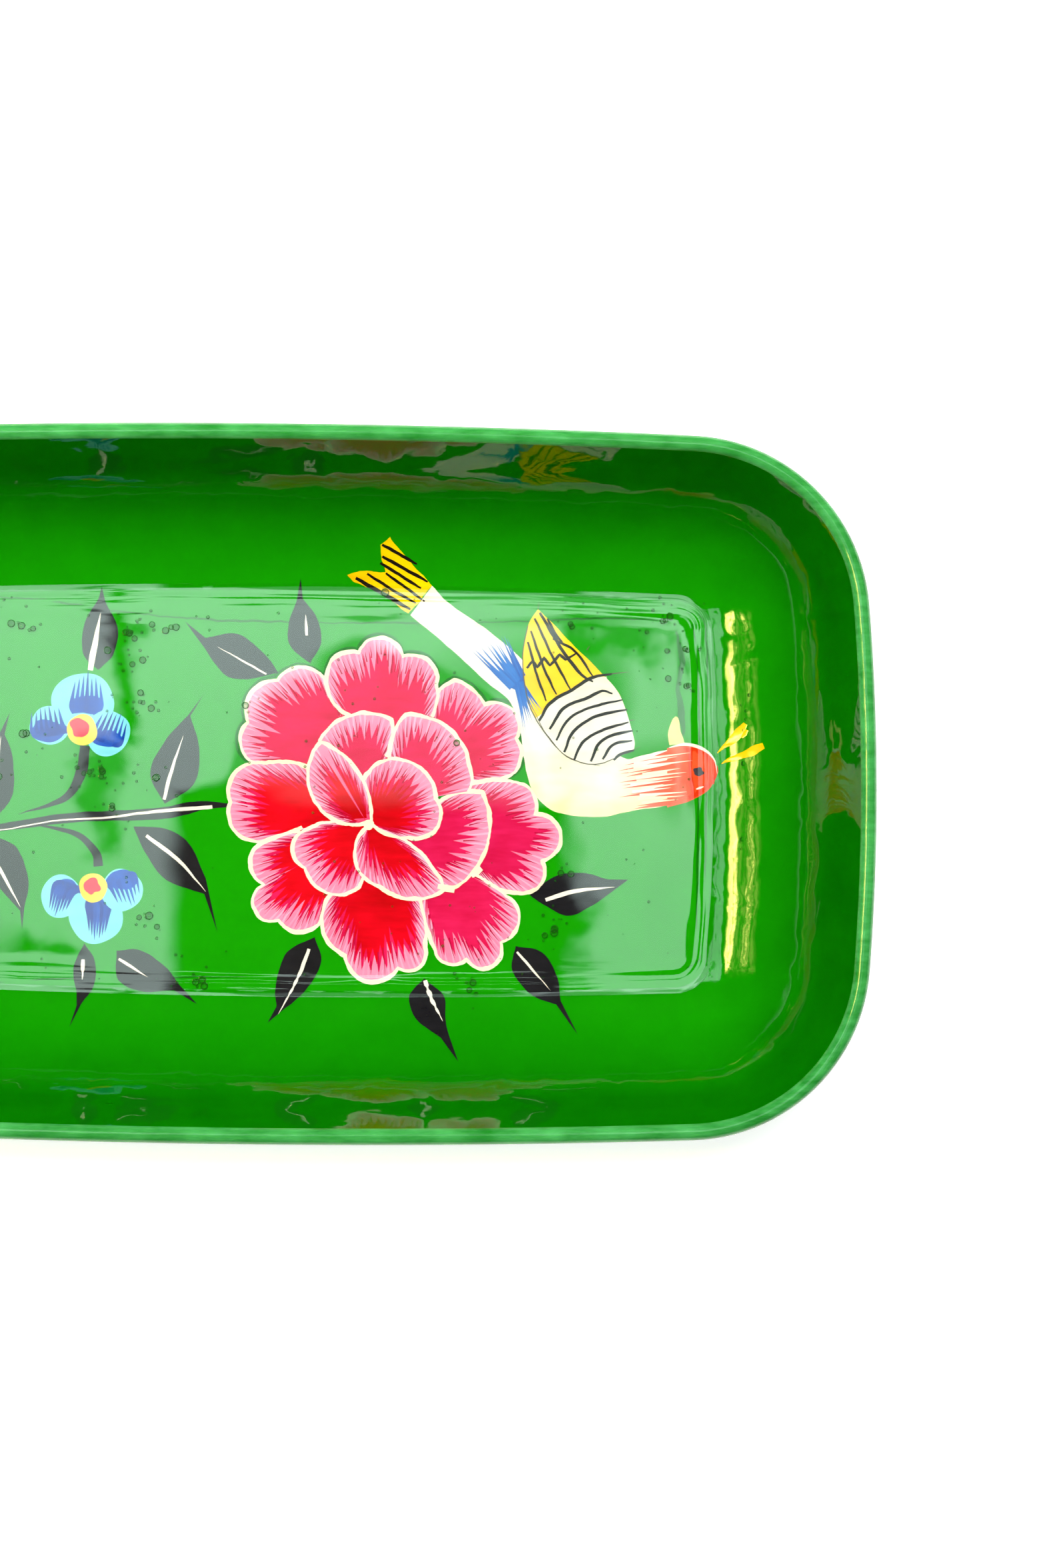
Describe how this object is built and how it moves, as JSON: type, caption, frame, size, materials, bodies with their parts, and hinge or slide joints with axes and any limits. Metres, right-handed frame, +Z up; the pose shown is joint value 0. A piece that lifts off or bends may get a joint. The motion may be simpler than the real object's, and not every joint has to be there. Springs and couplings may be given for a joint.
{
  "type": "painted serving tray",
  "caption": "Deep rectangular pressed-steel tray with coved walls and a wired rim, green gloss enamel, a hand-painted rose and bird, and a clear coat pooled on the floor.",
  "frame": {"origin": "middle of the underside, on the surface that the tray stands on", "axes": "+X along the tray's length, towards the bird's head; +Y towards the bird's tail side; +Z up, out of the dish"},
  "size_m": [0.28, 0.186, 0.0367],
  "materials": {
    "steel": "deep-drawn mild steel sheet, under enamel",
    "wire_steel": "drawn steel wire inside the rim",
    "green_enamel": "high-gloss brushed enamel",
    "clear_coat": "clear, very glossy, with small bubbles",
    "pink_paint": "brushed paint under clear coat",
    "cream_paint": "brushed paint under clear coat",
    "yellow_paint": "brushed paint under clear coat",
    "orange_paint": "brushed paint under clear coat",
    "black_paint": "brushed paint under clear coat",
    "blue_paint": "brushed paint under clear coat",
    "cyan_paint": "brushed paint under clear coat",
    "red_paint": "brushed paint under clear coat"
  },
  "bodies": {
    "root": {"tray_shell": "steel", "rim_wire": "wire_steel", "inner_enamel": "green_enamel", "outer_enamel": "green_enamel", "base_enamel": "green_enamel", "clear_coat": "clear_coat", "rose_outer_petals": "pink_paint", "rose_inner_petals": "pink_paint", "rose_outlines": "cream_paint", "bird_tail": "yellow_paint", "bird_body": "cream_paint", "bird_wing_yellow": "yellow_paint", "bird_wing_white": "cream_paint", "bird_head": "orange_paint", "bird_crest": "yellow_paint", "bird_beak": "yellow_paint", "bird_eye": "black_paint", "bird_rump": "blue_paint", "bird_feather_lines": "black_paint", "leaves": "black_paint", "leaf_veins": "cream_paint", "stems": "black_paint", "stem_highlight": "cream_paint", "flower_petals": "cyan_paint", "flower_blue_bases": "blue_paint", "flower_discs": "yellow_paint", "flower_hearts": "red_paint"}
  },
  "joints": []
}
